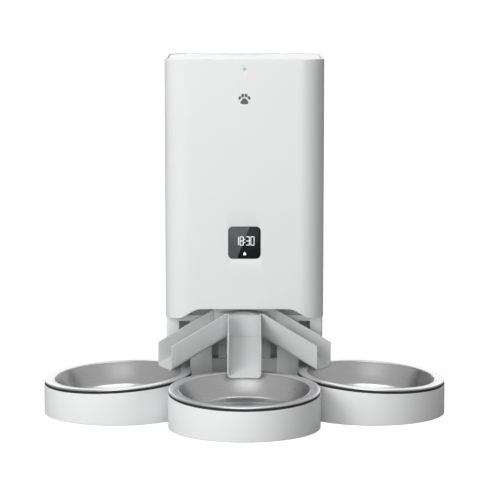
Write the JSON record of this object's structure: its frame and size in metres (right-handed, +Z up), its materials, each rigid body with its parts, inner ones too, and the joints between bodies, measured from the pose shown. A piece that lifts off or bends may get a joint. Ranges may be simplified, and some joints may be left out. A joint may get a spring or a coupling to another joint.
{
  "type": "automatic pet feeder",
  "caption": "Tall hopper feeder with display and flush lid, dropping food down chutes into round steel bowls in plastic holders.",
  "frame": {"origin": "on the floor, at the middle of the footprint of body and bowls", "axes": "+Z up, -Y towards the front bowl, +X to the right seen from the front"},
  "size_m": [0.45, 0.4052, 0.393],
  "materials": {
    "white_plastic": "satin white, fine moulded texture",
    "inner_plastic": "matt off-white",
    "smoked_tank": "smoked translucent",
    "bowl_steel": "circular brushed stainless",
    "display_glass": "gloss black window",
    "rubber": "matt black",
    "silicone": "pale grey silicone",
    "circuit_board": "green solder mask",
    "plated_metal": "zinc plated",
    "led_lens": "teal lit lens",
    "cell_wrap": "plain printed sleeve"
  },
  "bodies": {
    "feeder": {"front_shell": "white_plastic", "back_cover": "white_plastic", "mid_frame": "inner_plastic", "base_housing": "white_plastic", "base_plate": "inner_plastic", "base_screw_1": "plated_metal", "base_screw_2": "plated_metal", "base_screw_3": "plated_metal", "base_screw_4": "plated_metal", "foot_1": "rubber", "foot_2": "rubber", "foot_3": "rubber", "foot_4": "rubber", "bowl_bracket": "inner_plastic", "splitter": "white_plastic", "hopper": "smoked_tank", "dispenser_housing": "inner_plastic", "gear_motor": "plated_metal", "outlet_duct": "inner_plastic", "display_window": "display_glass", "display_board": "circuit_board", "led_lens": "led_lens", "battery_box": "inner_plastic", "battery_1": "cell_wrap", "battery_2": "cell_wrap", "battery_3": "cell_wrap", "main_board": "circuit_board", "dc_socket": "rubber", "bowl_holder_front": "white_plastic", "grip_ring_front": "rubber", "bowl_holder_left": "white_plastic", "grip_ring_left": "rubber", "bowl_holder_right": "white_plastic", "grip_ring_right": "rubber", "front_chute": "white_plastic", "left_chute": "white_plastic", "right_chute": "white_plastic"},
    "lid": {"lid": "white_plastic", "lid_seal": "silicone", "desiccant_box": "inner_plastic"},
    "lid_latch": {"lid_latch": "white_plastic"},
    "desiccant_cap": {"desiccant_cap": "inner_plastic"},
    "rotor": {"rotor": "inner_plastic"},
    "battery_door": {"battery_door": "inner_plastic"},
    "bowl_front": {"steel_bowl_front": "bowl_steel"},
    "bowl_left": {"steel_bowl_left": "bowl_steel"},
    "bowl_right": {"steel_bowl_right": "bowl_steel"}
  },
  "joints": [
    {"name": "lid_lift", "type": "slide", "parent": "feeder", "child": "lid", "axis": [0, 0, 1], "range_m": [0, 0.09]},
    {"name": "latch_press", "type": "slide", "parent": "lid", "child": "lid_latch", "axis": [0, 1, 0], "range_m": [0, 0.0025], "stiffness_N_per_m": 200, "springref_m": -0.002},
    {"name": "cap_twist", "type": "hinge", "parent": "lid", "child": "desiccant_cap", "pos_m": [0, 0.11515, 0.3654], "axis": [0, 0, 1], "range_deg": [0, 60]},
    {"name": "rotor_spin", "type": "hinge", "parent": "feeder", "child": "rotor", "pos_m": [0, 0.11515, 0.15], "axis": [0, 0, 1], "continuous": true},
    {"name": "battery_door_slide", "type": "slide", "parent": "feeder", "child": "battery_door", "axis": [0, 1, 0], "range_m": [0, 0.045]},
    {"name": "front_bowl_spin", "type": "hinge", "parent": "feeder", "child": "bowl_front", "pos_m": [0, -0.11935, 0.0405], "axis": [0, -0.0619, 0.9981], "continuous": true},
    {"name": "left_bowl_spin", "type": "hinge", "parent": "feeder", "child": "bowl_left", "pos_m": [-0.14184, -0.03118, 0.0405], "axis": [-0.0557, -0.0271, 0.9981], "continuous": true},
    {"name": "right_bowl_spin", "type": "hinge", "parent": "feeder", "child": "bowl_right", "pos_m": [0.14184, -0.03118, 0.0405], "axis": [0.0557, -0.0271, 0.9981], "continuous": true}
  ]
}
